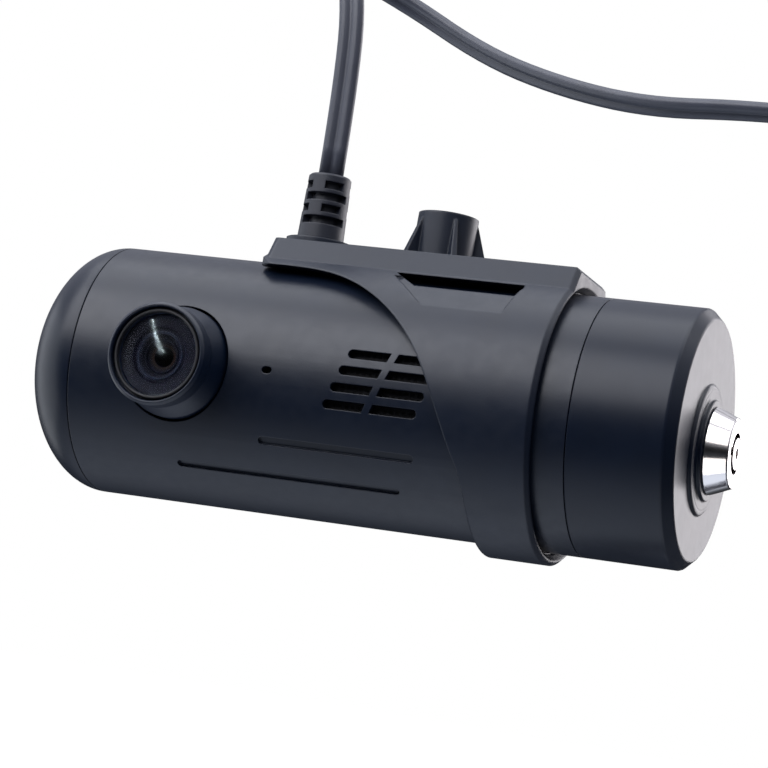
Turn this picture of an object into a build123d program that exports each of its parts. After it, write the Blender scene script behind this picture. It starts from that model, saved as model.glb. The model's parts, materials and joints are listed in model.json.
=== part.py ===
"""Tube-shaped vehicle camera in a windscreen bracket, millimetres.

X runs along the tube, lens end at -X and lock end at +X. The lens looks along -Y, and +Z is up.
The origin is the centre of the bracket boss's top face, where the windscreen arm screws in.
"""
from build123d import *
import os
from math import cos, radians, sin

os.makedirs("parts", exist_ok=True)

# ---------------------------------------------------------------- driving dimensions
tube_r = 25.5           # outside radius of the camera tube
wall = 2.2              # moulded wall of tube and cover
tube_start = -65.6      # seam between domed cap and tube
tube_end = 38.1         # seam between tube and lockable cover
seam_gap = 0.2          # visible gap at a seam
cap_depth = 15.7        # how far the domed cap bulges
cover_end = 58.9        # flat face of the cover
cover_chamfer = 1.9     # width of the cover's edge chamfer

collar_r = 28.0         # outside radius of the bracket's collar
collar_gap = 0.3        # clearance between collar and tube
plate_top_r = 29.5      # height of the plate's top above the tube's axis
plate_half_width = 10.0
plate_start = -33.0
plate_end = 32.0
boss_height = 9.4
pad_r, pad_height = 6.9, 1.6      # round pad under the strain relief
boss_r = 6.1
thread_r = 2.5          # tapped wall of the M6 insert
insert_length = 8.0

lens_x = -43.1          # lens axis along the tube
lens_front = 34.6       # bezel's front face from the tube's axis
relief_x = -26.8        # strain relief and cable exit

axis_z = -(plate_top_r + boss_height)
plate_z = -boss_height
tube_bore = tube_r - wall

# ---------------------------------------------------------------- planes and helpers
tube_axis = Axis((0, 0, axis_z), (1, 0, 0))
lens_axis = Axis((lens_x, 0, axis_z), (0, -1, 0))
side = Plane(origin=(0, 0, axis_z), x_dir=(1, 0, 0), z_dir=(0, -1, 0))       # local (x, height)
lens_side = Plane(origin=(lens_x, 0, axis_z), x_dir=(1, 0, 0), z_dir=(0, 0, 1))


def across(x):
    """Plane across the tube at x, facing +X, with local axes (+Y, +Z) from the tube's axis."""
    return Plane(origin=(x, 0, axis_z), x_dir=(0, 1, 0), z_dir=(1, 0, 0))


def facing(x, distance, height=0.0):
    """Plane facing -Y, at a distance in front of the tube's axis, with local axes (+X, +Z)."""
    return Plane(origin=(x, -distance, axis_z + height), x_dir=(1, 0, 0), z_dir=(0, -1, 0))


def level(x, y, z):
    """Horizontal plane through a point given from the tube's axis."""
    return Plane(origin=(x, y, axis_z + z))


def save(piece, name):
    """Label a finished piece and write its STEP file."""
    piece.part.label = name
    export_step(piece.part, "parts/" + name + ".step")


def block(name, low, high):
    """Plain box from its lowest to its highest corner, measured from the tube's axis."""
    size = [high[i] - low[i] for i in range(3)]
    with BuildPart() as piece:
        with Locations((low[0], low[1], axis_z + low[2])):
            Box(*size, align=(Align.MIN, Align.MIN, Align.MIN))
    save(piece, name)


# ---------------------------------------------------------------- bracket
crease = 61.6           # angle above the horizontal where the plate's side meets the collar
crease_y = collar_r * cos(radians(crease))
crease_z = collar_r * sin(radians(crease))
arm_start_z = crease_z - 1.7            # height of the arm's edge at the plate's free end
slot_left, slot_right = -4.0, 22.5      # opening between plate and collar
flat_angle = 50.0       # direction of the shallow flat under the opening
flat_distance = 27.3
rib_count = 5
rib_turn = 15.0         # the boss's ribs stand turned by this much
rib_height = 8.1
ring_x = (22.8, 29.2)   # friction rings in the collar
ring_width, ring_r = 2.4, 26.4
screw_x, screw_r = 26.0, 1.5

with BuildPart() as bracket:
    with BuildSketch(across(plate_start)) as cross_section:
        Circle(collar_r)
        with BuildLine():
            Polyline(
                (-plate_half_width, plate_top_r),
                (plate_half_width, plate_top_r),
                (crease_y, crease_z),
                (-crease_y, crease_z),
                close=True,
            )
        make_face()
    extrude(amount=plate_end - plate_start)
    # the plate's free end is rounded in plan
    plate_sides = bracket.edges().filter_by(GeomType.LINE).group_by(Axis.X)[0].filter_by(Axis.Y, reverse=True)
    fillet(plate_sides, 1.6)
    # the arm's edge sweeps from the plate's end down to the bottom of the collar
    with BuildSketch(side) as swept_side:
        with BuildLine():
            edge = Spline(
                (plate_start, arm_start_z), (-14.0, 21.6), (-0.3, 14.6), (9.5, 3.1), (16.3, -10.9),
                (19.3, -collar_r - 1),
                tangents=((1, 0), (0.02, -1)),
            )
            Polyline(edge @ 1, (19.3, -45), (plate_start - 5, -45), (plate_start - 5, arm_start_z), edge @ 0)
        make_face()
    extrude(amount=45, both=True, mode=Mode.SUBTRACT)
    # the arm's free corners are cut off in plan
    for corner_side in (1, -1):
        with BuildSketch(level(plate_start, 0, 15)):
            with BuildLine():
                Polyline((-1, corner_side * 12.2), (3.6, corner_side * 17.2), (-1, corner_side * 17.2), close=True)
            make_face()
        extrude(amount=12, mode=Mode.SUBTRACT)
    chamfer(bracket.faces().sort_by(Axis.X)[-1].outer_wire().edges(), 0.9)
    with BuildSketch(across(plate_start - 5)):
        Circle(tube_r + collar_gap)
    extrude(amount=plate_end - plate_start + 10, mode=Mode.SUBTRACT)
    # lead-in chamfer inside the collar's open end
    with BuildSketch(side):
        with BuildLine():
            bore_wall = tube_r + collar_gap
            Polyline((plate_end - 1.4, bore_wall), (plate_end, bore_wall + 1.2), (plate_end, bore_wall), close=True)
        make_face()
    revolve(axis=tube_axis, mode=Mode.SUBTRACT)
    # openings between plate and collar, front and back, with a hollow behind them
    for facing_side in (1, -1):
        with BuildSketch(side):
            with BuildLine():
                Polyline(
                    (slot_left, crease_z - 0.5), (slot_right, crease_z - 0.5), (slot_right + 0.2, crease_z - 1.4),
                    (slot_right - 1.0, 21.4), (slot_left + 5.0, 21.4), close=True,
                )
            make_face()
        extrude(amount=facing_side * 30, mode=Mode.SUBTRACT)
        flat_plane = Plane(
            origin=(0, -facing_side * flat_distance * cos(radians(flat_angle)),
                    axis_z + flat_distance * sin(radians(flat_angle))),
            x_dir=(1, 0, 0),
            z_dir=(0, -facing_side * cos(radians(flat_angle)), sin(radians(flat_angle))),
        )
        with BuildSketch(flat_plane):
            with BuildLine():
                Polyline(
                    (slot_left, facing_side * 3.2), (slot_right, facing_side * 3.2),
                    (slot_right - 1.6, facing_side * -8), (slot_left + 10.5, facing_side * -8), close=True,
                )
            make_face()
        extrude(amount=3, mode=Mode.SUBTRACT)
    with Locations((9.0, 0, axis_z + 24)):
        Box(25, 22, 6.6, mode=Mode.SUBTRACT)
    # round pad under the strain relief and the hole that the cable goes down
    with BuildSketch(level(relief_x, 0, plate_top_r)):
        Circle(pad_r)
    extrude(amount=pad_height)
    with BuildSketch(level(relief_x, 0, plate_top_r + pad_height)):
        Circle(3.6)
    extrude(amount=-3.6, mode=Mode.SUBTRACT)
    # boss with ribs that are thicker and reach further out at the plate
    with BuildSketch(level(0, 0, plate_top_r)):
        Circle(boss_r + 0.2)
    extrude(amount=boss_height, taper=1.0)
    for rib in range(rib_count):
        turn = radians(rib_turn + 360 / rib_count * rib)
        for height, reach, thickness in ((-0.5, 9.3, 1.35), (rib_height, 6.25, 0.7)):
            with BuildSketch(Plane((0, 0, plate_z + height), x_dir=(cos(turn), sin(turn), 0), z_dir=(0, 0, 1))):
                with Locations((4.5, 0)):
                    Rectangle(reach - 4.5, thickness, align=(Align.MIN, Align.CENTER))
        loft()
    with Locations((0, 0, 0)):
        Hole(radius=4.0, depth=insert_length)
    # grooves for the friction rings and a threaded hole for the tilt screw at the back
    for x in ring_x:
        with BuildSketch(across(x - ring_width / 2)):
            Circle(ring_r)
        extrude(amount=ring_width, mode=Mode.SUBTRACT)
    with BuildSketch(facing(screw_x, 0)):
        Circle(screw_r)
    extrude(amount=-40, mode=Mode.SUBTRACT)
save(bracket, "bracket")

with BuildPart() as mount_insert:
    with BuildSketch():
        Circle(4.0)
    extrude(amount=-insert_length)
    with BuildSketch():
        Circle(thread_r)
    extrude(amount=-insert_length, mode=Mode.SUBTRACT)
    for depth in (2.2, 5.2):
        with BuildSketch(Plane.XY.offset(-depth)):
            Circle(4.0)
            Circle(3.6, mode=Mode.SUBTRACT)
        extrude(amount=-0.7, mode=Mode.SUBTRACT)
save(mount_insert, "mount_insert")

with BuildPart() as friction_rings:
    for x in ring_x:
        with BuildSketch(across(x - ring_width / 2 + 0.1)):
            Circle(ring_r)
            Circle(tube_r + 0.06, mode=Mode.SUBTRACT)
        extrude(amount=ring_width - 0.2)
save(friction_rings, "friction_rings")

with BuildPart() as tilt_lock_screw:
    with BuildSketch(facing(screw_x, -(tube_r + 0.35))):
        Circle(screw_r)
    extrude(amount=-3.2)
    with BuildSketch(facing(screw_x, -(tube_r + 3.55))):
        RegularPolygon(radius=0.85, side_count=6)
    extrude(amount=1.4, mode=Mode.SUBTRACT)
save(tilt_lock_screw, "tilt_lock_screw")

# ---------------------------------------------------------------- strain relief
relief_height = 13.8
relief_base_r, relief_top_r = 4.8, 4.4
relief_z = plate_z + pad_height
slot_height = 1.6
slot_heights = (3.2, 5.65, 8.1, 10.5)   # bottoms of the four rows of slots
slot_depth = 1.7

with BuildPart() as strain_relief:
    with BuildSketch(Plane(origin=(relief_x, 0, 0), x_dir=(1, 0, 0), z_dir=(0, -1, 0))):
        with BuildLine():
            Polyline(
                (0, relief_z - 3.0), (3.58, relief_z - 3.0), (3.58, relief_z + 0.25), (relief_base_r, relief_z + 0.25),
                (relief_top_r, relief_z + relief_height - 0.4), (relief_top_r - 0.4, relief_z + relief_height),
                (0, relief_z + relief_height), close=True,
            )
        make_face()
    revolve(axis=Axis((relief_x, 0, 0), (0, 0, 1)))
    for row, height in enumerate(slot_heights):
        half_angle = 62 if row % 2 == 0 else 26
        count = 2 if row % 2 == 0 else 4
        with BuildSketch(Plane.XY.offset(relief_z + height)):
            for turn in range(count):
                middle = 288 + 19 * (row % 2) + 360 / count * turn
                with BuildLine():
                    start = middle - half_angle
                    inner = CenterArc((relief_x, 0), relief_base_r - slot_depth, start, 2 * half_angle)
                    outer = CenterArc((relief_x, 0), relief_base_r + 1, start, 2 * half_angle)
                    Line(inner @ 0, outer @ 0)
                    Line(inner @ 1, outer @ 1)
                make_face()
        extrude(amount=slot_height, mode=Mode.SUBTRACT)
save(strain_relief, "strain_relief")

# ---------------------------------------------------------------- cable
cable_width = 5.4
relief_top = relief_z + relief_height
coil_x, coil_y = 50.0, 52.0
coil_floor = -137.0
coil_columns, coil_layers = 4, 2
coil_middle_r = 30.0
coil_width = coil_columns * cable_width
coil_height = coil_layers * cable_width
coil_outer_turn = coil_middle_r + coil_width / 2 - cable_width / 2
upper_turn_z = coil_floor + 1.5 * cable_width
lower_turn_z = coil_floor + 0.5 * cable_width
bend_share = 0.45

cable_route = [
    (relief_x, 0, relief_top),
    (relief_x, 0, 25),
    (-28.4, 0.5, 45),
    (-37, 5, 66),
    (-53, 18, 81),
    (-71, 37, 87),
    (-82, 60, 85),
    (-76, 84, 80),
    (-55, 98, 72.5),
    (-30, 93, 58.5),
    (-6, 80, 49),
    (18, 70, 43.2),
    (43, 63, 42.6),
    (66, 59, 41),
    (86, 54, 26),
    (95, 46, 0),
    (97, 36, -30),
    (96, 25, -62),
    (93, 7, -95),
    (89.5, 20, -123),
    (coil_x + coil_outer_turn, coil_y, upper_turn_z),
]


def cord_radii(points, share=bend_share):
    """Radius at each corner: a share of the shorter run over the tangent of half the turn."""
    radii = []
    for before, here, after in zip(points, points[1:], points[2:]):
        arriving = Vector(*here) - Vector(*before)
        leaving = Vector(*after) - Vector(*here)
        half_turn = radians(arriving.get_angle(leaving)) / 2
        shorter = min(arriving.length, leaving.length)
        radii.append(share * shorter * cos(half_turn) / sin(half_turn))
    return radii


corner_radii = cord_radii(cable_route)
print("cable corner radii:", [round(radius, 1) for radius in corner_radii])

with BuildPart() as cable:
    with BuildLine() as cable_path:
        FilletPolyline(*cable_route, radius=corner_radii)
    with BuildSketch(Plane(origin=cable_path.line @ 0, z_dir=cable_path.line % 0)):
        Circle(cable_width / 2)
    sweep(path=cable_path.line)
cable_length = cable_path.wires()[0].length
section_area = 3.141593 * (cable_width / 2) ** 2
print("cable length", round(cable_length, 1), "volume over section", round(cable.part.volume / section_area, 1))
save(cable, "cable")

with BuildPart() as cable_coil:
    with BuildSketch(Plane(origin=(coil_x, coil_y, coil_floor))):
        Circle(coil_middle_r + coil_width / 2)
        Circle(coil_middle_r - coil_width / 2, mode=Mode.SUBTRACT)
    extrude(amount=coil_height)
save(cable_coil, "cable_coil")
print("coil length", round(coil_columns * coil_layers * 2 * 3.141593 * coil_middle_r, 1))

# short tail that runs off the coil towards -X, beside its lower turn at the +Y side
tail_y = coil_y + coil_outer_turn + cable_width
tail_length = 31.0
with BuildPart() as cable_tail:
    with BuildSketch(Plane(origin=(coil_x, tail_y, lower_turn_z), x_dir=(0, 1, 0), z_dir=(-1, 0, 0))):
        Circle(cable_width / 2)
    extrude(amount=tail_length)
save(cable_tail, "cable_tail")

with BuildPart() as cable_tie:
    tie_thickness = 0.8
    with BuildSketch(Plane(origin=(coil_x - 1.5, coil_y - coil_middle_r, coil_floor + coil_height / 2),
                           x_dir=(0, 1, 0), z_dir=(1, 0, 0))):
        RectangleRounded(coil_width + 2 * tie_thickness, coil_height + 2 * tie_thickness, 1.5)
        Rectangle(coil_width + 0.2, coil_height, mode=Mode.SUBTRACT)
    extrude(amount=3.0)
    with Locations((coil_x, coil_y - coil_middle_r - coil_width / 2 - tie_thickness - 0.8,
                    coil_floor + coil_height / 2)):
        Box(5.0, 2.4, 4.6)
save(cable_tie, "cable_tie")

connector_size = (20.0, 12.0, 7.0)
connector_end = coil_x - tail_length
with BuildPart() as cable_connector:
    with BuildSketch(Plane(origin=(connector_end, tail_y, lower_turn_z + 0.8), x_dir=(0, 1, 0), z_dir=(-1, 0, 0))):
        RectangleRounded(connector_size[1], connector_size[2], 1.2)
    extrude(amount=connector_size[0])
    with BuildSketch(Plane(origin=(connector_end - connector_size[0], tail_y, lower_turn_z + 0.8),
                           x_dir=(0, 1, 0), z_dir=(-1, 0, 0))):
        with GridLocations(4.6, 1, 2, 1):
            Rectangle(3.4, 4.2)
    extrude(amount=-8, mode=Mode.SUBTRACT)
    with Locations((connector_end - 9, tail_y, lower_turn_z + 0.8 + connector_size[2] / 2 + 0.5)):
        Box(12, 3.4, 1.4)
save(cable_connector, "cable_connector")

# ---------------------------------------------------------------- camera tube
vent_rows = 4
vent_pitch = 3.4
vent_height = 1.8
vent_slant = 1.19       # each lower row starts this much further to the left
vent_left = -9.0        # left end of the stack at mid height
vent_length = 19.2
bridge_start, bridge_width = 8.4, 1.5
vent_raise = 0.45       # the stack's middle above the tube's axis
lens_hole_r = 11.6
post_circle, post_r = 18.6, 2.6
panel_x = tube_end - 2.1
screw_angles = (30, 150, 270)

with BuildPart() as housing_tube:
    with BuildSketch(across(tube_start + seam_gap)):
        Circle(tube_r)
        Circle(tube_bore, mode=Mode.SUBTRACT)
    extrude(amount=tube_end - tube_start - seam_gap)
    with BuildSketch(facing(lens_x, 0)):
        Circle(lens_hole_r)
    extrude(amount=30, mode=Mode.SUBTRACT)
    with BuildSketch(facing(-23.2, 0, vent_raise)):
        SlotOverall(2.0, 1.4)
    extrude(amount=30, mode=Mode.SUBTRACT)
    # vents: rows of rounded slots in a slanted stack
    with BuildSketch(facing(0, 0)):
        for row in range(vent_rows):
            height = (1.5 - row) * vent_pitch + vent_raise
            left = vent_left - (row - 1.5) * vent_slant
            with Locations((left + vent_length / 2, height)):
                SlotOverall(vent_length, vent_height)
        # one slanted bridge crosses all the rows
        with BuildLine():
            lean = 2 * vent_slant
            foot, reach = vent_left + bridge_start, 2 * vent_pitch
            Polyline(
                (foot + lean, reach + vent_raise), (foot + lean + bridge_width, reach + vent_raise),
                (foot - lean + bridge_width, vent_raise - reach), (foot - lean, vent_raise - reach), close=True,
            )
        make_face(mode=Mode.SUBTRACT)
    extrude(amount=30, mode=Mode.SUBTRACT)
    # two long shallow grooves below the vents
    for start, end, angle in ((-24.0, 8.2, -30.6), (-42.3, 4.8, -48.3)):
        groove_plane = Plane(
            origin=((start + end) / 2, -(tube_r - 0.6) * cos(radians(angle)),
                    axis_z + (tube_r - 0.6) * sin(radians(angle))),
            x_dir=(1, 0, 0),
            z_dir=(0, -cos(radians(angle)), sin(radians(angle))),
        )
        with BuildSketch(groove_plane):
            SlotOverall(end - start, 1.7)
        extrude(amount=2, mode=Mode.SUBTRACT)
    # posts that take the end panel's screws
    with BuildSketch(across(panel_x - 7)):
        for angle in screw_angles:
            with Locations((post_circle * cos(radians(angle)), post_circle * sin(radians(angle)))):
                Circle(post_r)
            with Locations((21.4 * cos(radians(angle)), 21.4 * sin(radians(angle)))):
                Rectangle(4.6, 4.4, rotation=angle)
    extrude(amount=7)
    with BuildSketch(across(panel_x - 7)):
        with PolarLocations(post_circle, 3, start_angle=screw_angles[0]):
            Circle(1.1)
    extrude(amount=7, mode=Mode.SUBTRACT)
save(housing_tube, "housing_tube")


def quarter_ellipse(depth, radius):
    """Curve of a dome from its rim at the tube's seam to its tip on the axis."""
    pull = 0.5523
    return Bezier(
        (tube_start, radius), (tube_start - pull * depth, radius), (tube_start - depth, pull * radius),
        (tube_start - depth, 0),
    )


with BuildPart() as end_cap:
    with BuildSketch(side):
        with BuildLine():
            outer_dome = quarter_ellipse(cap_depth, tube_r)
            inner_dome = quarter_ellipse(cap_depth - wall, tube_bore - 1.8)
            Line(outer_dome @ 1, inner_dome @ 1)
            Polyline(
                inner_dome @ 0, (tube_start + 5, tube_bore - 1.8), (tube_start + 5, tube_bore),
                (tube_start, tube_bore), outer_dome @ 0,
            )
        make_face()
    revolve(axis=tube_axis)
save(end_cap, "end_cap")

# ---------------------------------------------------------------- lens
bezel_depth = 3.8
bezel_r = 10.2
barrel_front_r, barrel_base_r = 9.7, 11.1
bezel_back = lens_front - bezel_depth


def turned(name, points):
    """Ring or disc turned about the lens's axis from (radius, distance in front of the tube's axis)."""
    with BuildPart() as piece:
        with BuildSketch(lens_side):
            with BuildLine():
                Polyline(*[(radius, -distance) for radius, distance in points], close=True)
            make_face()
        revolve(axis=lens_axis)
    save(piece, name)


turned("lens_housing", [
    (8.2, 19.5), (barrel_base_r, 19.5), (barrel_base_r, 24.5), (barrel_front_r, bezel_back - 1.5),
    (barrel_front_r, bezel_back), (8.2, bezel_back),
])
ring_floor = lens_front - 1.7
turned("bezel_ring", [
    (8.2, bezel_back), (bezel_r - 0.2, bezel_back), (bezel_r, bezel_back + 0.2), (bezel_r, lens_front - 0.6),
    (bezel_r - 0.5, lens_front), (9.5, lens_front), (9.3, lens_front - 0.3), (9.3, ring_floor), (8.2, ring_floor),
])
turned("retaining_ring", [
    (8.25, ring_floor), (8.9, ring_floor), (8.9, lens_front - 0.8), (8.7, lens_front - 0.6),
    (8.4, lens_front - 0.6), (8.25, lens_front - 0.8),
])
glass_r = 7.8
glass_edge = lens_front - 1.5
with BuildPart() as front_lens:
    with BuildSketch(lens_side):
        with BuildLine():
            crown = ThreePointArc((0, -(glass_edge + 2.1)), (4.2, -(glass_edge + 1.52)), (glass_r, -glass_edge))
            hollow = ThreePointArc((0, -(glass_edge + 0.75)), (3.0, -(glass_edge + 0.25)), (5.6, -(glass_edge - 1.0)))
            Polyline(crown @ 1, (glass_r, -(glass_edge - 1.0)), hollow @ 1)
            Line(crown @ 0, hollow @ 0)
        make_face()
    revolve(axis=lens_axis)
save(front_lens, "front_lens")
# the core's front face stands 0.1 behind the glass
turned("lens_core", [
    (2.0, 12.0), (8.1, 12.0), (8.1, glass_edge - 1.1), (5.5, glass_edge - 1.1), (5.2, glass_edge - 1.5),
    (4.8, glass_edge - 1.5), (4.7, glass_edge - 1.2), (4.45, glass_edge - 1.2), (4.3, glass_edge - 2.0),
    (3.6, glass_edge - 2.2), (3.45, glass_edge - 2.0), (3.25, glass_edge - 2.0), (3.1, glass_edge - 2.8),
    (2.0, glass_edge - 3.3),
])
turned("rear_lens", [(0, 18.0), (1.96, 18.0), (1.96, 21.0), (0, 21.6)])

with BuildPart() as lens_holder:
    with BuildSketch(facing(lens_x, 4.0)):
        Rectangle(19, 19)
        Circle(5.0, mode=Mode.SUBTRACT)
    extrude(amount=8.0)
    with BuildSketch(facing(lens_x, 12.0)):
        Circle(10.4)
        Circle(8.15, mode=Mode.SUBTRACT)
    extrude(amount=7.4)
    with BuildSketch(facing(lens_x, 4.0)):
        Circle(5.0)
    extrude(amount=8.0, mode=Mode.SUBTRACT)
save(lens_holder, "lens_holder")

block("image_sensor", (lens_x - 4, -3.9, -3.5), (lens_x + 4, -2.6, 3.5))
block("sensor_board", (lens_x - 11, -2.6, -11), (lens_x + 11, -1.0, 11))
block("sensor_ribbon", (lens_x - 5, -1.0, -8.3), (lens_x + 5, 5.0, -8.0))

# ---------------------------------------------------------------- electronics
board_front, board_back = 5.0, 6.6
board_left, board_right = -58.0, 17.0
board_low, board_high = -17.0, 13.0

with BuildPart() as main_board:
    with BuildSketch(facing((board_left + board_right) / 2, -board_back, (board_low + board_high) / 2)):
        Rectangle(board_right - board_left, board_high - board_low)
        with GridLocations(66, 22, 2, 2):
            Circle(1.2, mode=Mode.SUBTRACT)
    extrude(amount=board_back - board_front)
save(main_board, "main_board")

block("processor", (-31, 3.6, -8), (-15, board_front, 8))
with BuildPart() as memory_chips:
    for low_z in (-8.0, 1.0):
        with Locations((-12, 3.9, axis_z + low_z)):
            Box(9, 1.1, 7, align=(Align.MIN, Align.MIN, Align.MIN))
save(memory_chips, "memory_chips")

with BuildPart() as heat_sink:
    with Locations((-34, board_back, axis_z - 10)):
        Box(24, 2, 20, align=(Align.MIN, Align.MIN, Align.MIN))
    for fin in range(5):
        with Locations((-34, board_back + 2, axis_z - 10 + fin * 4.6)):
            Box(24, 5, 1.6, align=(Align.MIN, Align.MIN, Align.MIN))
save(heat_sink, "heat_sink")
block("modem", (-6, board_back, -11), (15, board_back + 2.4, 8))

capacitor_r = 4.0
with BuildPart() as backup_capacitors:
    with BuildSketch(across(1.0)):
        with Locations((board_front - capacitor_r, -11), (board_front - capacitor_r, 7.5)):
            Circle(capacitor_r)
    extrude(amount=15)
save(backup_capacitors, "backup_capacitors")

rail_top = board_low + 1.5
with BuildPart() as board_rail:
    with BuildSketch(across(board_left)):
        Circle(tube_bore)
        with Locations(((board_front + board_back) / 2, rail_top - 10)):
            Rectangle(board_back - board_front + 4, 20, mode=Mode.INTERSECT)
        with Locations(((board_front + board_back) / 2, rail_top)):
            Rectangle(board_back - board_front, 3.0, mode=Mode.SUBTRACT)
    extrude(amount=board_right - board_left)
save(board_rail, "board_rail")

with BuildPart() as speaker:
    with BuildSketch(facing(0, 12.5)):
        Circle(9)
    extrude(amount=3.2)
    with BuildSketch(facing(0, 15.7)):
        Circle(8)
        Circle(5, mode=Mode.SUBTRACT)
    extrude(amount=0.8)
save(speaker, "speaker")

with BuildPart() as microphone:
    with BuildSketch(facing(-23.5, 19.8)):
        Circle(2.6)
    extrude(amount=2.4)
save(microphone, "microphone")

# curved dust mesh behind the vents
mesh_half_angle = 19.0
with BuildPart() as vent_mesh:
    with BuildSketch(across(-13)):
        with BuildLine():
            mesh_outer = CenterArc((0, 0), tube_bore - 0.05, 180 - mesh_half_angle, 2 * mesh_half_angle)
            mesh_inner = CenterArc((0, 0), tube_bore - 0.35, 180 - mesh_half_angle, 2 * mesh_half_angle)
            Line(mesh_outer @ 0, mesh_inner @ 0)
            Line(mesh_outer @ 1, mesh_inner @ 1)
        make_face()
    extrude(amount=27)
save(vent_mesh, "vent_mesh")

block("antenna_board", (-24, -10, 14.2), (-2, 10, 15.4))
block("satellite_antenna", (-21, -8, 15.4), (-5, 8, 19.4))

# ---------------------------------------------------------------- end panel behind the cover
spigot_r = tube_bore - 0.3
spigot_length = 6.0
card_z = -9.0           # height of both cards above the tube's axis
memory_card_y, sim_card_y = 10.0, -10.0
memory_card_size = (15.0, 11.0, 0.8)
sim_card_size = (12.3, 8.8, 0.7)
card_out = 1.6          # how far a card stands out of the panel
button_y, button_z = 9.0, 8.0
button_r = 1.6
seal_r = 0.6
seal_x = tube_end + 3.3
seal_ring_r = tube_bore - 0.05 - seal_r

with BuildPart() as end_panel:
    with BuildSketch(across(panel_x)):
        Circle(tube_bore)
    extrude(amount=tube_end - panel_x)
    with BuildSketch(across(tube_end)):
        Circle(spigot_r)
        Circle(spigot_r - 1.9, mode=Mode.SUBTRACT)
    extrude(amount=spigot_length)
    with BuildSketch(across(panel_x)):
        with Locations((memory_card_y, card_z)):
            Rectangle(memory_card_size[1] + 0.6, memory_card_size[2] + 0.6)
        with Locations((sim_card_y, card_z)):
            Rectangle(sim_card_size[1] + 0.6, sim_card_size[2] + 0.6)
        with Locations((0, card_z - 4.2)):
            SlotOverall(9.6, 3.8)
        with Locations((button_y, button_z)):
            Circle(button_r + 0.3)
        with PolarLocations(post_circle, 3, start_angle=screw_angles[0]):
            Circle(1.2)
    extrude(amount=tube_end - panel_x, mode=Mode.SUBTRACT)
    # groove for the O-ring
    with BuildSketch(across(seal_x - seal_r - 0.05)):
        Circle(spigot_r)
        Circle(seal_ring_r - seal_r - 0.05, mode=Mode.SUBTRACT)
    extrude(amount=2 * seal_r + 0.1, mode=Mode.SUBTRACT)
save(end_panel, "end_panel")

with BuildPart() as cover_seal:
    with BuildSketch(side):
        with Locations((seal_x, seal_ring_r)):
            Circle(seal_r)
    revolve(axis=tube_axis)
save(cover_seal, "cover_seal")

with BuildPart() as panel_screws:
    with BuildSketch(across(tube_end)):
        with PolarLocations(post_circle, 3, start_angle=screw_angles[0]):
            Circle(1.9)
    extrude(amount=1.3)
    with BuildSketch(across(tube_end - 7)):
        with PolarLocations(post_circle, 3, start_angle=screw_angles[0]):
            Circle(1.1)
    extrude(amount=7)
save(panel_screws, "panel_screws")

board_top = card_z - 1.3
block("io_board", (20, -16, board_top - 1.2), (panel_x, 16, board_top))


def card_socket(name, y, card):
    """Socket behind the panel that holds a card, open towards +X."""
    length, width, thickness = card
    with BuildPart() as socket:
        with BuildSketch(across(panel_x)):
            with Locations((y, card_z + 0.4)):
                Rectangle(width + 2.4, 3.4)
            with Locations((y, card_z)):
                Rectangle(width + 0.5, thickness + 0.5, mode=Mode.SUBTRACT)
        extrude(amount=-(length - card_out - (tube_end - panel_x) + 0.6))
    save(socket, name)


card_socket("card_socket", memory_card_y, memory_card_size)
card_socket("sim_socket", sim_card_y, sim_card_size)
block("memory_card",
      (tube_end + card_out - memory_card_size[0], memory_card_y - memory_card_size[1] / 2, card_z - 0.4),
      (tube_end + card_out, memory_card_y + memory_card_size[1] / 2, card_z + 0.4))
block("sim_card",
      (tube_end + card_out - sim_card_size[0], sim_card_y - sim_card_size[1] / 2, card_z - 0.35),
      (tube_end + card_out, sim_card_y + sim_card_size[1] / 2, card_z + 0.35))

with BuildPart() as usb_port:
    with BuildSketch(across(tube_end - 8)):
        with Locations((0, card_z - 4.2)):
            SlotOverall(9.0, 3.2)
    extrude(amount=8)
    with BuildSketch(across(tube_end - 6)):
        with Locations((0, card_z - 4.2)):
            SlotOverall(8.3, 2.5)
            Rectangle(6.6, 0.7, mode=Mode.SUBTRACT)
    extrude(amount=6, mode=Mode.SUBTRACT)
save(usb_port, "usb_port")

button_travel = 0.6
with BuildPart() as reset_button:
    with BuildSketch(across(panel_x - 1.6)):
        with Locations((button_y, button_z)):
            Circle(button_r)
    extrude(amount=tube_end - panel_x + 2.4)
    with BuildSketch(across(panel_x - 1.6)):
        with Locations((button_y, button_z)):
            Circle(button_r + 0.9)
    extrude(amount=0.8)
save(reset_button, "reset_button")
block("reset_switch", (panel_x - 6.6, button_y - 3, button_z - 3),
      (panel_x - 1.6 - button_travel - 0.2, button_y + 3, button_z + 3))

# hooked catch on the panel that the lock's cam turns behind
cam_x = tube_end + 6.2
cam_thickness = 2.0
cam_reach = 13.0
lock_drop = 1.8         # the lock sits this much below the tube's axis
with BuildPart() as cam_catch:
    with BuildSketch(level(0, 0, -lock_drop - 4)):
        with BuildLine():
            Polyline(
                (tube_end, -16.4), (tube_end, -14.4), (cam_x + cam_thickness + 0.5, -14.4),
                (cam_x + cam_thickness + 0.5, -13.6), (cam_x + cam_thickness + 2.3, -13.6),
                (cam_x + cam_thickness + 2.3, -16.4), close=True,
            )
        make_face()
    extrude(amount=8)
save(cam_catch, "cam_catch")

# ---------------------------------------------------------------- lockable cover
hub_r, hub_step_r = 11.7, 9.8
hub_height = 0.8
lock_base_x = cover_end + 2 * hub_height
lock_front_x = lock_base_x + 4.6
lock_barrel_r = 6.0
nut_x = cover_end - wall
lock_line = Axis((0, 0, axis_z - lock_drop), (1, 0, 0))
lock_side = Plane(origin=(0, 0, axis_z - lock_drop), x_dir=(1, 0, 0), z_dir=(0, -1, 0))


def across_lock(x):
    """Plane across the lock's axis at x, facing +X, with local axes (+Y, +Z) from that axis."""
    return Plane(origin=(x, 0, axis_z - lock_drop), x_dir=(0, 1, 0), z_dir=(1, 0, 0))


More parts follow.
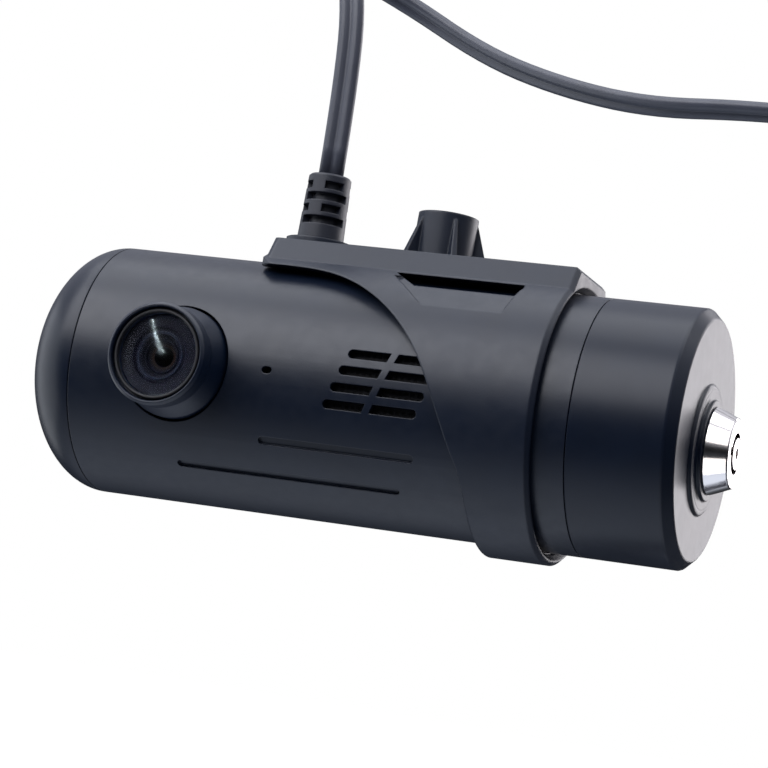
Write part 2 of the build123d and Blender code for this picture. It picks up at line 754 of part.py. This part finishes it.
with BuildPart() as end_cover:
    with BuildSketch(side):
        with BuildLine():
            Polyline(
                (cover_end, 0), (nut_x, 0), (nut_x, tube_bore - 1.5), (nut_x - 1.5, tube_bore),
                (tube_end + seam_gap, tube_bore), (tube_end + seam_gap, tube_r),
                (cover_end - cover_chamfer - 0.4, tube_r), (cover_end - cover_chamfer, tube_r - 0.15),
                (cover_end - 0.2, tube_r - cover_chamfer + 0.1), (cover_end, tube_r - cover_chamfer - 0.2),
                close=True,
            )
        make_face()
    revolve(axis=tube_axis)
    # stepped hub round the lock
    with BuildSketch(lock_side):
        with BuildLine():
            fillet_arc = SagittaArc((cover_end, hub_r + 1.2), (cover_end + hub_height - 0.1, hub_r), 0.3)
            Polyline(
                fillet_arc @ 1, (cover_end + hub_height, hub_r - 0.2), (cover_end + hub_height, hub_step_r + 0.3),
                (cover_end + hub_height + 0.2, hub_step_r), (lock_base_x - 0.15, hub_step_r),
                (lock_base_x, hub_step_r - 0.15), (lock_base_x, 0), (cover_end - 1, 0),
                (cover_end - 1, hub_r + 1.2), fillet_arc @ 0,
            )
        make_face()
    revolve(axis=lock_line)
    with BuildSketch(across_lock(nut_x - 1)):
        Circle(lock_barrel_r)
    extrude(amount=10, mode=Mode.SUBTRACT)
save(end_cover, "end_cover")

plug_r = 4.0
key_post_r = 3.1
with BuildPart() as lock_body:
    with BuildSketch(lock_side):
        with BuildLine():
            Polyline(
                (lock_base_x, plug_r + 0.05), (lock_base_x, 8.3), (lock_base_x + 0.3, 8.6),
                (lock_front_x - 0.3, 6.9), (lock_front_x, 6.6), (lock_front_x, plug_r + 0.05), close=True,
            )
        make_face()
        with BuildLine():
            Polyline(
                (cam_x + cam_thickness + 1.4, plug_r + 0.05), (cam_x + cam_thickness + 1.4, lock_barrel_r),
                (lock_base_x, lock_barrel_r), (lock_base_x, plug_r + 0.05), close=True,
            )
        make_face()
    revolve(axis=lock_line)
    # key's locating notch, at the rim of the keyway
    with Locations((lock_front_x - 1.2, -(plug_r + 0.3), axis_z - lock_drop)):
        Box(2.4, 1.2, 1.6, mode=Mode.SUBTRACT)
save(lock_body, "lock_body")

with BuildPart() as lock_nut:
    with BuildSketch(across_lock(nut_x - 3.0)):
        RegularPolygon(radius=9.4, side_count=6)
        Circle(lock_barrel_r, mode=Mode.SUBTRACT)
    extrude(amount=3.0)
save(lock_nut, "lock_nut")

with BuildPart() as lock_plug:
    with BuildSketch(across_lock(cam_x + cam_thickness)):
        Circle(plug_r)
    extrude(amount=lock_front_x - cam_x - cam_thickness - 5)
    with BuildSketch(across_lock(lock_front_x - 5)):
        Circle(key_post_r)
    extrude(amount=5.2)
    with BuildSketch(across_lock(lock_front_x + 0.2)):
        Circle(1.1)
    extrude(amount=-1.5, mode=Mode.SUBTRACT)
save(lock_plug, "lock_plug")

with BuildPart() as lock_cam:
    with BuildSketch(across_lock(cam_x)):
        with Locations((0, cam_reach / 2)):
            SlotOverall(cam_reach + 7, 7, rotation=90)
        Circle(1.5, mode=Mode.SUBTRACT)
        with Locations((0, cam_reach + 4)):
            Rectangle(10, 8, mode=Mode.SUBTRACT)
    extrude(amount=cam_thickness)
save(lock_cam, "lock_cam")

with BuildPart() as cam_screw:
    with BuildSketch(across_lock(cam_x - 1.4)):
        Circle(2.8)
    extrude(amount=1.4)
    with BuildSketch(across_lock(cam_x)):
        Circle(1.5)
    extrude(amount=cam_thickness)
    with Locations((cam_x - 1.4, 0, axis_z - lock_drop)):
        Box(1.2, 4.4, 0.7, mode=Mode.SUBTRACT)
save(cam_screw, "cam_screw")
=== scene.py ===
"""Looks of the tube-shaped vehicle camera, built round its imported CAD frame.

Lengths are in metres unless a name says mm. The frame's origin is the mounting boss's top, +X runs to the lock,
and the lens looks along -Y.
"""
import json
from math import cos, pi, radians, sin

import bmesh
import bpy
from mathutils import Matrix, Quaternion, Vector


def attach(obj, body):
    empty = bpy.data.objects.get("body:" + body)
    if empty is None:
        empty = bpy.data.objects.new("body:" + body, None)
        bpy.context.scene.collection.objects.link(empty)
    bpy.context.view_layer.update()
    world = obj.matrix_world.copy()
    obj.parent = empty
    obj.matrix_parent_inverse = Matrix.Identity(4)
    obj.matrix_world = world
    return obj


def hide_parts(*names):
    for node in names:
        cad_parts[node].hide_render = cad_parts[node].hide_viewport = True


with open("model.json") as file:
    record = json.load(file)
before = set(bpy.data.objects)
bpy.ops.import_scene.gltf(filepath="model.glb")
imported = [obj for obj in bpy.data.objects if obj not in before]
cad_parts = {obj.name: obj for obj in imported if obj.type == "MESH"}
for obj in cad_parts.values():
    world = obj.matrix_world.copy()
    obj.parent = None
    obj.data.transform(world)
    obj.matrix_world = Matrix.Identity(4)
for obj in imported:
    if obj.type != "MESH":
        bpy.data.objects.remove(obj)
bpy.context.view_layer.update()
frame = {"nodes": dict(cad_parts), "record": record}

MM = 0.001
AXIS_Z = -38.9 * MM        # height of the camera tube's axis
FLOOR_Z = -137.9 * MM
LENS_X = -43.1 * MM
scene = bpy.context.scene


# ------------------------------------------------------------------ camera
def place_camera(target, azimuth, elevation, roll, distance, lens):
    """Camera that looks at target. Its angles are in degrees, and azimuth 0 looks along +Y."""
    az, el, turn = radians(azimuth), radians(elevation), radians(roll)
    back = Vector((sin(az) * cos(el), -cos(az) * cos(el), sin(el)))
    right = (-back).cross(Vector((0, 0, 1))).normalized()
    up = right.cross(-back)
    across = right * cos(turn) + up * sin(turn)
    upward = up * cos(turn) - right * sin(turn)
    data = bpy.data.cameras.new("camera")
    data.sensor_width = 36.0
    data.lens = lens
    data.clip_start = 0.01
    data.clip_end = 50.0
    camera = bpy.data.objects.new("camera", data)
    scene.collection.objects.link(camera)
    rotation = Matrix((across, upward, back)).transposed()
    camera.matrix_world = Matrix.Translation(target + back * distance) @ rotation.to_4x4()
    scene.camera = camera


place_camera(target=Vector((-8.04, 0.0, -35.26)) * MM, azimuth=19.98, elevation=-6.79, roll=9.23,
             distance=536.17 * MM, lens=124.87)

# ------------------------------------------------------------------ cord
CABLE_WIDTH_MM = 5.4
CABLE_WIDTH = CABLE_WIDTH_MM * MM
COIL_CENTRE_MM = (50.0, 52.0)
OUTER_TURN_MM = 38.1                        # radius of the coil's outermost turn
COLUMNS = 4                                 # turns side by side in each of the coil's two layers
UPPER_TURN_MM, LOWER_TURN_MM = -128.9, -134.3
TURN_POINTS = 16                            # control points for each turn
FREE_LENGTH = 0.46                          # stretch that is free to twist before it lies level

# from the strain relief over the camera and down behind it to the coil
route_mm = [
    (-26.8, 0, 6),
    (-26.8, 0, 25),
    (-28.4, 0.5, 45),
    (-37, 5, 66),
    (-53, 18, 81),
    (-71, 37, 87),
    (-82, 60, 85),
    (-76, 84, 80),
    (-55, 98, 72.5),
    (-30, 93, 58.5),
    (-6, 80, 49),
    (18, 70, 43.2),
    (43, 63, 42.6),
    (66, 59, 41),
    (86, 54, 26),
    (95, 46, 0),
    (97, 36, -30),
    (96, 25, -62),
    (93, 7, -95),
    (89.5, 20, -123),
]


def smooth(t):
    """Eases from 0 to 1 as t goes from 0 to 1."""
    t = min(max(t, 0.0), 1.0)
    return t * t * (3 - 2 * t)


def coil_points():
    """Turns of the put-away length: inwards on the upper layer, outwards on the lower one."""
    inwards = [OUTER_TURN_MM - column * CABLE_WIDTH_MM for column in range(COLUMNS)]
    radii = inwards + inwards[::-1] + [OUTER_TURN_MM + CABLE_WIDTH_MM]
    turns = 2 * COLUMNS
    shift = 0.25           # share of a turn over which the cord moves to the next column
    points = []
    for step in range(turns * TURN_POINTS + TURN_POINTS // 4 + 1):
        turn, part = divmod(step / TURN_POINTS, 1.0)
        here, after = radii[int(turn)], radii[min(int(turn) + 1, turns)]
        radius = here + (after - here) * smooth((part - 1 + shift) / shift)
        drop = smooth((step / TURN_POINTS - COLUMNS + shift) / shift)
        angle = 2 * pi * part
        points.append((
            COIL_CENTRE_MM[0] + radius * cos(angle),
            COIL_CENTRE_MM[1] + radius * sin(angle),
            UPPER_TURN_MM + (LOWER_TURN_MM - UPPER_TURN_MM) * drop,
        ))
    return points


def tail_points():
    """Straight end of the cord, beside the coil's lower layer, up to the connector."""
    y = COIL_CENTRE_MM[1] + OUTER_TURN_MM + CABLE_WIDTH_MM
    return [(COIL_CENTRE_MM[0] - along, y, LOWER_TURN_MM) for along in (12.0, 22.0, 31.0)]


def spline_line(name, points):
    """Points along a smooth NURBS curve with these control points."""
    data = bpy.data.curves.new(name, "CURVE")
    data.dimensions = "3D"
    data.resolution_u = 6
    line = data.splines.new("NURBS")
    line.points.add(len(points) - 1)
    for point, place in zip(line.points, points):
        point.co = (*place, 1.0)
    line.order_u = 3
    line.use_endpoint_u = True
    holder = bpy.data.objects.new(name, data)
    scene.collection.objects.link(holder)
    bpy.context.view_layer.update()
    mesh = bpy.data.meshes.new_from_object(holder)
    found = [v.co.copy() for v in mesh.vertices]
    bpy.data.objects.remove(holder)
    bpy.data.curves.remove(data)
    bpy.data.meshes.remove(mesh)
    return found


def twin_section():
    """Outline of a flat twin sheath: two round lobes with a shallow valley between them on each side."""
    lobe = CABLE_WIDTH / 4
    steps = 9              # points round each lobe
    half = 142.0           # degrees that a lobe reaches to each side of its tip
    valley = 0.52          # height of the valley as a share of the lobe's radius
    outline = []
    for side in (1, -1):
        for i in range(steps):
            angle = radians(-half + 2 * half * i / (steps - 1))
            outline.append((side * (lobe + lobe * cos(angle)), side * lobe * sin(angle)))
        outline.append((0.0, side * lobe * valley))
    return outline


def signed_angle(a, b, axis):
    """Angle that turns a to b about axis."""
    turned = a.angle(b)
    return turned if a.cross(b).dot(axis) >= 0 else -turned


def flat_directions(line, start, rest):
    """Direction of the flat cord's broad side at each point: carried along from start, twisted to rest."""
    count = len(line)
    tangents = [(line[min(i + 1, count - 1)] - line[max(i - 1, 0)]).normalized() for i in range(count)]
    carried = [(start - tangents[0] * start.dot(tangents[0])).normalized()]
    for before, here in zip(tangents, tangents[1:]):
        direction = before.rotation_difference(here) @ carried[-1]
        carried.append((direction - here * direction.dot(here)).normalized())
    lengths = [0.0]
    for before, here in zip(line, line[1:]):
        lengths.append(lengths[-1] + (here - before).length)
    last = next(i for i, length in enumerate(lengths) if length >= FREE_LENGTH)
    level = (rest - tangents[last] * rest.dot(tangents[last])).normalized()
    twist = signed_angle(carried[last], level, tangents[last])
    broad = []
    for i, tangent in enumerate(tangents):
        if i < last:
            turn = Quaternion(tangent, twist * smooth(lengths[i] / FREE_LENGTH))
            broad.append(turn @ carried[i])
        else:
            broad.append((rest - tangent * rest.dot(tangent)).normalized())
    return tangents, broad, lengths


def swept_mesh(name, line, tangents, broad, outline):
    """Closed mesh of an outline carried along a line."""
    mesh = bpy.data.meshes.new(name)
    build = bmesh.new()
    rings = []
    for place, tangent, wide in zip(line, tangents, broad):
        narrow = tangent.cross(wide)
        rings.append([build.verts.new(place + wide * u + narrow * v) for u, v in outline])
    count = len(outline)
    for first, second in zip(rings, rings[1:]):
        for i in range(count):
            build.faces.new((first[i], first[(i + 1) % count], second[(i + 1) % count], second[i]))
    build.faces.new(list(reversed(rings[0])))
    build.faces.new(rings[-1])
    bmesh.ops.recalc_face_normals(build, faces=build.faces)
    for face in build.faces:
        face.smooth = len(face.verts) == 4
    build.to_mesh(mesh)
    build.free()
    piece = bpy.data.objects.new(name, mesh)
    scene.collection.objects.link(piece)
    return piece


cord_mm = route_mm + coil_points() + tail_points()
line = spline_line("cord_line", [Vector(p) * MM for p in cord_mm])
tangents, broad, lengths = flat_directions(line, start=Vector((1, 0, 0)), rest=Vector((0, 0, 1)))
power_cord = swept_mesh("power_cord", line, tangents, broad, twin_section())
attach(power_cord, "bracket")
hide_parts("cable", "cable_coil", "cable_tail")
print("cord length", round(lengths[-1], 3))


# ------------------------------------------------------------------ materials
class Nodes:
    """Small helper that adds and links shader nodes."""

    def __init__(self, name):
        self.material = bpy.data.materials.new(name)
        self.material.use_nodes = True
        self.tree = self.material.node_tree
        self.shader = self.tree.nodes["Principled BSDF"]
        self.coords = self.add("ShaderNodeTexCoord").outputs["Object"]

    def add(self, kind, **settings):
        node = self.tree.nodes.new(kind)
        for key, value in settings.items():
            setattr(node, key, value)
        return node

    def link(self, source, target):
        self.tree.links.new(source, target)

    def noise(self, size, detail=2.0, stretch=None):
        """Noise whose features are about size across, stretched along the axes if asked."""
        node = self.add("ShaderNodeTexNoise")
        node.inputs["Scale"].default_value = 1.0 / size
        node.inputs["Detail"].default_value = detail
        source = self.coords
        if stretch:
            mapping = self.add("ShaderNodeMapping")
            mapping.inputs["Scale"].default_value = stretch
            self.link(self.coords, mapping.inputs["Vector"])
            source = mapping.outputs["Vector"]
        self.link(source, node.inputs["Vector"])
        return node.outputs["Fac"]

    def spread(self, value, low, high, low_in=0.3, high_in=0.7):
        """Maps a value from its usual range to low..high."""
        node = self.add("ShaderNodeMapRange")
        for key, number in zip(("From Min", "From Max", "To Min", "To Max"), (low_in, high_in, low, high)):
            node.inputs[key].default_value = number
        self.link(value, node.inputs["Value"])
        return node.outputs["Result"]

    def ramp(self, value, stops):
        """Colour ramp from (position, colour) stops."""
        node = self.add("ShaderNodeValToRGB")
        elements = node.color_ramp.elements
        while len(elements) < len(stops):
            elements.new(0.5)
        for element, (position, color) in zip(elements, stops):
            element.position = position
            element.color = (*color, 1.0)
        self.link(value, node.inputs["Fac"])
        return node.outputs["Color"]

    def bump(self, heights, edge=0.0):
        """Chains bumps given as (height value, depth) pairs, over rounded edges of radius edge."""
        normal = None
        if edge:
            rounded = self.add("ShaderNodeBevel", samples=6)
            rounded.inputs["Radius"].default_value = edge
            normal = rounded.outputs["Normal"]
        for height, depth in heights:
            node = self.add("ShaderNodeBump")
            node.inputs["Distance"].default_value = depth
            self.link(height, node.inputs["Height"])
            if normal:
                self.link(normal, node.inputs["Normal"])
            normal = node.outputs["Normal"]
        self.link(normal, self.shader.inputs["Normal"])

    def set(self, **values):
        for key, value in values.items():
            self.shader.inputs[key.replace("_", " ")].default_value = value


def shade(color, factor):
    """The colour made lighter or darker."""
    return tuple(min(c * factor, 1.0) for c in color)


def moulded(name, color, rough, grain=0.22, depth=0.010, spread=0.10, edge=0.25, coat=0.0, vary=0.035,
            gloss=0.5):
    """Moulded plastic or rubber: fine grain, faint clouding of colour and gloss, rounded edges. In mm: grain,
    depth of the grain, and edge."""
    n = Nodes(name)
    cloud = n.noise(9 * MM, 3.0)
    n.link(n.ramp(cloud, [(0.3, shade(color, 1 - spread)), (0.7, shade(color, 1 + spread))]),
           n.shader.inputs["Base Color"])
    n.link(n.spread(n.noise(2.4 * MM, 4.0), rough - vary, rough + vary), n.shader.inputs["Roughness"])
    n.bump([(n.noise(grain * MM, 2.0), depth * MM)], edge * MM)
    n.set(Coat_Weight=coat, Coat_Roughness=0.2, Specular_IOR_Level=gloss)
    return n.material


def metal(name, color, rough, lines, size=0.4):
    """Bare or plated metal, with a grain size mm across and narrower along each axis by its part of lines."""
    n = Nodes(name)
    grain = n.noise(size * MM, 3.0, lines)
    n.link(n.ramp(grain, [(0.3, shade(color, 0.93)), (0.7, shade(color, 1.04))]),
           n.shader.inputs["Base Color"])
    n.link(n.spread(n.noise(3 * MM, 3.0), rough * 0.8, rough * 1.25), n.shader.inputs["Roughness"])
    n.bump([(grain, 0.002 * MM)], 0.15 * MM)
    n.set(Metallic=1.0)
    return n.material


def coated_glass(name):
    """Multi-coated lens glass: clear with a violet film and a slightly soft, faintly marked surface."""
    n = Nodes(name)
    n.link(n.ramp(n.noise(4 * MM, 2.0), [(0.3, (0.80, 0.80, 0.96)), (0.7, (0.86, 0.86, 1.00))]),
           n.shader.inputs["Base Color"])
    n.link(n.spread(n.noise(1.5 * MM, 4.0), 0.11, 0.13), n.shader.inputs["Roughness"])
    n.set(Transmission_Weight=1.0, IOR=1.13)
    return n.material


LENS_RINGS_AND_GLINT = (      # radius in mm from the lens's axis, and the colour there; the amber stop at 2.3 mm is a painted glint from the inner glass
    (2.0, (0.001, 0.001, 0.002)), (2.3, (0.020, 0.011, 0.004)), (2.7, (0.001, 0.001, 0.002)),
    (3.1, (0.005, 0.006, 0.010)), (3.5, (0.001, 0.002, 0.004)), (4.2, (0.001, 0.001, 0.003)),
    (4.5, (0.017, 0.022, 0.031)), (4.8, (0.004, 0.005, 0.009)), (5.4, (0.002, 0.002, 0.004)),
    (6.2, (0.004, 0.004, 0.006)), (7.8, (0.005, 0.005, 0.007)),
)


def lens_barrel(name):
    """Anodised lens barrel: dull grey round the glass, a lighter ring, dark steps down to the pupil, and a thin
    amber ring by the pupil that is a painted glint.
    """
    rim_mm = 8.0
    n = Nodes(name)
    centred = n.add("ShaderNodeMapping")
    centred.inputs["Location"].default_value = (-LENS_X, 0.0, -AXIS_Z)
    centred.inputs["Scale"].default_value = (1.0, 0.0, 1.0)
    n.link(n.coords, centred.inputs["Vector"])
    distance = n.add("ShaderNodeVectorMath", operation="LENGTH")
    n.link(centred.outputs["Vector"], distance.inputs[0])
    radius = n.spread(distance.outputs["Value"], 0.0, 1.0, 0.0, rim_mm * MM)
    # the barrel's own rings, plus a painted amber glint near the pupil
    rings = n.ramp(radius, [(place / rim_mm, color) for place, color in LENS_RINGS_AND_GLINT])
    n.link(rings, n.shader.inputs["Base Color"])
    n.link(n.spread(n.noise(1.2 * MM, 3.0), 0.28, 0.40), n.shader.inputs["Roughness"])
    n.set(Specular_IOR_Level=0.08)
    n.bump([(n.noise(0.25 * MM), 0.004 * MM)], 0.08 * MM)
    return n.material


def circuit_board(name):
    """Green solder mask with a copper-plane mottle and small tinned pads."""
    n = Nodes(name)
    cells = n.add("ShaderNodeTexVoronoi", distance="CHEBYCHEV")
    cells.inputs["Scale"].default_value = 1 / (2.2 * MM)
    n.link(n.coords, cells.inputs["Vector"])
    pads = n.ramp(cells.outputs["Distance"], [(0.10, (0.62, 0.60, 0.55)), (0.14, (0.010, 0.085, 0.045))])
    n.link(pads, n.shader.inputs["Base Color"])
    n.link(n.spread(n.noise(3 * MM), 0.28, 0.4), n.shader.inputs["Roughness"])
    n.bump([(n.noise(1.2 * MM), 0.02 * MM)])
    return n.material


def woven_mesh(name):
    """Fine black dust mesh: crossed threads, with painted shade darkening the gaps between them."""
    n = Nodes(name)
    heights = []
    for direction in ("X", "Z"):
        wave = n.add("ShaderNodeTexWave", bands_direction=direction)
        wave.inputs["Scale"].default_value = 1 / (4.2 * MM)
        n.link(n.coords, wave.inputs["Vector"])
        heights.append(wave.outputs["Fac"])
    top = n.add("ShaderNodeMath", operation="MAXIMUM")
    n.link(heights[0], top.inputs[0])
    n.link(heights[1], top.inputs[1])
    # painted shade: the lower the weave, the darker its colour
    n.link(n.ramp(top.outputs[0], [(0.3, (0.003, 0.003, 0.004)), (0.8, (0.018, 0.018, 0.022))]),
           n.shader.inputs["Base Color"])
    n.set(Roughness=0.8)
    n.bump([(top.outputs[0], 0.12 * MM)])
    return n.material


BODY = (0.0030, 0.0072, 0.0185)
BLACK = (0.012, 0.012, 0.014)
materials = {
    "bracket_plastic": moulded("bracket_plastic", shade(BODY, 1.1), 0.40, edge=0.6),
    "tube_plastic": moulded("tube_plastic", BODY, 0.37),
    "cover_plastic": moulded("cover_plastic", BODY, 0.34, depth=0.002, edge=0.4, vary=0.012, gloss=0.38),
    "lens_plastic": moulded("lens_plastic", shade(BODY, 1.3), 0.34, depth=0.005, edge=0.45),
    "inner_plastic": moulded("inner_plastic", (0.010, 0.010, 0.012), 0.5),
    "lens_glass": coated_glass("lens_glass"),
    "lens_inner": lens_barrel("lens_inner"),
    "chrome": metal("chrome", (0.93, 0.89, 0.87), 0.10, (1, 30, 30), size=0.6),
    "brass": metal("brass", (0.72, 0.52, 0.24), 0.28, (1, 1, 12)),
    "steel": metal("steel", (0.56, 0.57, 0.59), 0.3, (8, 1, 1)),
    "aluminium": metal("aluminium", (0.75, 0.76, 0.78), 0.35, (1, 14, 14)),
    "rubber": moulded("rubber", (0.016, 0.019, 0.030), 0.46, depth=0.014, spread=0.15, edge=0.35),
    "cable_sheath": moulded("cable_sheath", (0.056, 0.061, 0.082), 0.38, grain=0.3, depth=0.008, edge=0.0),
    "tie": moulded("tie", BLACK, 0.45, edge=0.1),
    "connector_plastic": moulded("connector_plastic", BLACK, 0.35, edge=0.15),
    "circuit_board": circuit_board("circuit_board"),
    "chip": moulded("chip", BLACK, 0.6, grain=0.12),
    "sensor": moulded("sensor", (0.05, 0.06, 0.12), 0.08, depth=0.001, coat=1.0),
    "ribbon": moulded("ribbon", (0.38, 0.20, 0.04), 0.35, depth=0.004),
    "metal_can": metal("metal_can", (0.66, 0.66, 0.68), 0.35, (6, 1, 1)),
    "capacitor_sleeve": moulded("capacitor_sleeve", (0.02, 0.03, 0.09), 0.25),
    "ceramic": moulded("ceramic", (0.55, 0.48, 0.38), 0.55, grain=0.1),
    "mesh": woven_mesh("mesh"),
    "memory_card_plastic": moulded("memory_card_plastic", (0.014, 0.014, 0.016), 0.45, edge=0.1),
    "sim_card_plastic": moulded("sim_card_plastic", (0.78, 0.78, 0.76), 0.4, edge=0.1, spread=0.03),
    "button_plastic": moulded("button_plastic", (0.55, 0.55, 0.54), 0.4, edge=0.15, spread=0.04),
}


def dress(piece, slot):
    """Gives a piece one material, in every slot that it has."""
    if not piece.material_slots:
        piece.data.materials.append(materials[slot])
    for place in piece.material_slots:
        place.link = "OBJECT"
        place.material = materials[slot]


for entry in frame["record"]["subparts"]:
    dress(frame["nodes"][entry["node"]], entry["material_slot"])
dress(power_cord, "cable_sheath")


# ------------------------------------------------------------------ floor, backdrop and light
def stage_floor():
    """Wide white floor under the coil, which the object doesn't mirror."""
    mesh = bpy.data.meshes.new("floor")
    build = bmesh.new()
    bmesh.ops.create_grid(build, x_segments=8, y_segments=8, size=12.0)
    build.to_mesh(mesh)
    build.free()
    floor = bpy.data.objects.new("floor", mesh)
    floor.location.z = FLOOR_Z
    floor.visible_diffuse = floor.visible_glossy = floor.visible_transmission = floor.visible_shadow = False
    scene.collection.objects.link(floor)
    n = Nodes("floor_white")
    n.link(n.ramp(n.noise(0.4, 2.0), [(0.3, (0.80, 0.80, 0.81)), (0.7, (0.82, 0.82, 0.83))]),
           n.shader.inputs["Base Color"])
    n.set(Roughness=1.0, Specular_IOR_Level=0.0, Emission_Color=(1, 1, 1, 1), Emission_Strength=0.62)
    mesh.materials.append(n.material)


def softbox(name, place, target, size, strength, color=(1, 1, 1)):
    """Rectangular area light at place that faces target, as bright as a surface of that strength."""
    data = bpy.data.lights.new(name, "AREA")
    data.shape = "RECTANGLE"
    data.size, data.size_y = size
    data.energy = strength * pi * size[0] * size[1]
    data.color = color
    light = bpy.data.objects.new(name, data)
    light.location = place
    light.rotation_euler = (Vector(target) - Vector(place)).to_track_quat("-Z", "Y").to_euler()
    scene.collection.objects.link(light)
    return light


SKY = (      # height of the direction from -1, down, to 1, up, and its brightness
    (-1.00, 0.95), (-0.92, 0.90), (-0.70, 0.40), (-0.50, 0.07), (-0.10, 0.01), (0.06, 0.02), (0.20, 0.16),
    (0.40, 0.45), (0.70, 0.70), (1.00, 0.70),
)


def studio_world():
    """White to the camera, and a soft sky with a dark band at the horizon for everything else."""
    world = bpy.data.worlds.new("studio")
    scene.world = world
    world.use_nodes = True
    tree = world.node_tree
    tree.nodes.clear()
    coords = tree.nodes.new("ShaderNodeTexCoord")
    split = tree.nodes.new("ShaderNodeSeparateXYZ")
    ramp = tree.nodes.new("ShaderNodeValToRGB")
    lift = tree.nodes.new("ShaderNodeMapRange")
    sky, white = tree.nodes.new("ShaderNodeBackground"), tree.nodes.new("ShaderNodeBackground")
    path, mix = tree.nodes.new("ShaderNodeLightPath"), tree.nodes.new("ShaderNodeMixShader")
    output = tree.nodes.new("ShaderNodeOutputWorld")
    lift.inputs["From Min"].default_value = -1.0
    elements = ramp.color_ramp.elements
    while len(elements) < len(SKY):
        elements.new(0.5)
    for element, (height, grey) in zip(elements, SKY):
        element.position = (height + 1) / 2
        tint = (0.86, 0.94, 1.10) if height < 0 else (0.95, 0.97, 1.08)
        element.color = (*[grey * part for part in tint], 1.0)
    white.inputs["Color"].default_value = (1, 1, 1, 1)
    for source, target in (
        (coords.outputs["Generated"], split.inputs["Vector"]), (split.outputs["Z"], lift.inputs["Value"]),
        (lift.outputs["Result"], ramp.inputs["Fac"]), (ramp.outputs["Color"], sky.inputs["Color"]),
        (path.outputs["Is Camera Ray"], mix.inputs[0]), (sky.outputs[0], mix.inputs[1]),
        (white.outputs[0], mix.inputs[2]), (mix.outputs[0], output.inputs["Surface"]),
    ):
        tree.links.new(source, target)


def link_light(light, state, *nodes):
    """With INCLUDE a light reaches these CAD nodes alone, and with EXCLUDE all but these."""
    receivers = bpy.data.collections.new(light.name + "_receivers")
    for node in nodes:
        receivers.objects.link(frame["nodes"][node])
    light.light_linking.receiver_collection = receivers
    for item in receivers.collection_objects:
        item.light_linking.link_state = state


def room_lights():
    """Large softboxes round the camera. The front glass doesn't mirror the two brightest above it."""
    body_middle = (0, 0, AXIS_Z)
    front = softbox("front_softbox", (-0.42, -0.58, 0.52), (-0.03, 0, AXIS_Z), (1.05, 0.66), 3.6,
                    (0.94, 0.95, 1.0))
    top = softbox("top_softbox", (0.0, 0.05, 0.62), body_middle, (1.2, 0.45), 1.8, (0.94, 0.96, 1.0))
    softbox("left_softbox", (-0.95, 0.0, -0.15), body_middle, (1.1, 1.0), 1.2, (0.90, 0.94, 1.0))
    softbox("back_right_softbox", (0.55, 0.85, 0.15), (0.06, 0, AXIS_Z), (0.8, 0.9), 3.3, (1.0, 0.965, 1.0))
    for light in (front, top):
        link_light(light, "EXCLUDE", "front_lens")


def lens_streak(low, high, width, strength):
    """Slim strip light from low to high, which only the front glass mirrors, as one bright streak."""
    glass_centre = Vector((LENS_X, -0.034, AXIS_Z))
    middle, along = (low + high) / 2, (high - low)
    away = (middle - glass_centre).normalized()
    upward = (along - away * along.dot(away)).normalized()
    light = softbox("lens_strip", middle, glass_centre, (width, along.length), strength, (0.78, 0.95, 1.0))
    light.matrix_world = (
        Matrix.Translation(middle) @ Matrix((upward.cross(away), upward, away)).transposed().to_4x4()
    )
    link_light(light, "INCLUDE", "front_lens")
    light.visible_diffuse = light.visible_transmission = False


def lock_cards():
    """White cards above and below the lock, which leave one dark band across its chrome."""
    lock_middle = (0.062, 0, AXIS_Z)
    for name, place in (("lock_card_above", (0.25, -0.45, 0.34)), ("lock_card_below", (0.25, -0.42, -0.50))):
        card = softbox(name, place, lock_middle, (0.60, 0.50), 1.6, (1.0, 0.97, 0.95))
        link_light(card, "INCLUDE", "lock_body", "lock_plug")


stage_floor()
studio_world()
room_lights()
lens_streak(low=Vector((-0.111, -0.517, 0.017)), high=Vector((-0.36, -0.21, 0.34)), width=0.014,
            strength=190.0)
frame["nodes"]["front_lens"].visible_shadow = False      # the clear glass lets light in to the lens barrel
lock_cards()
scene.view_settings.view_transform = "Standard"
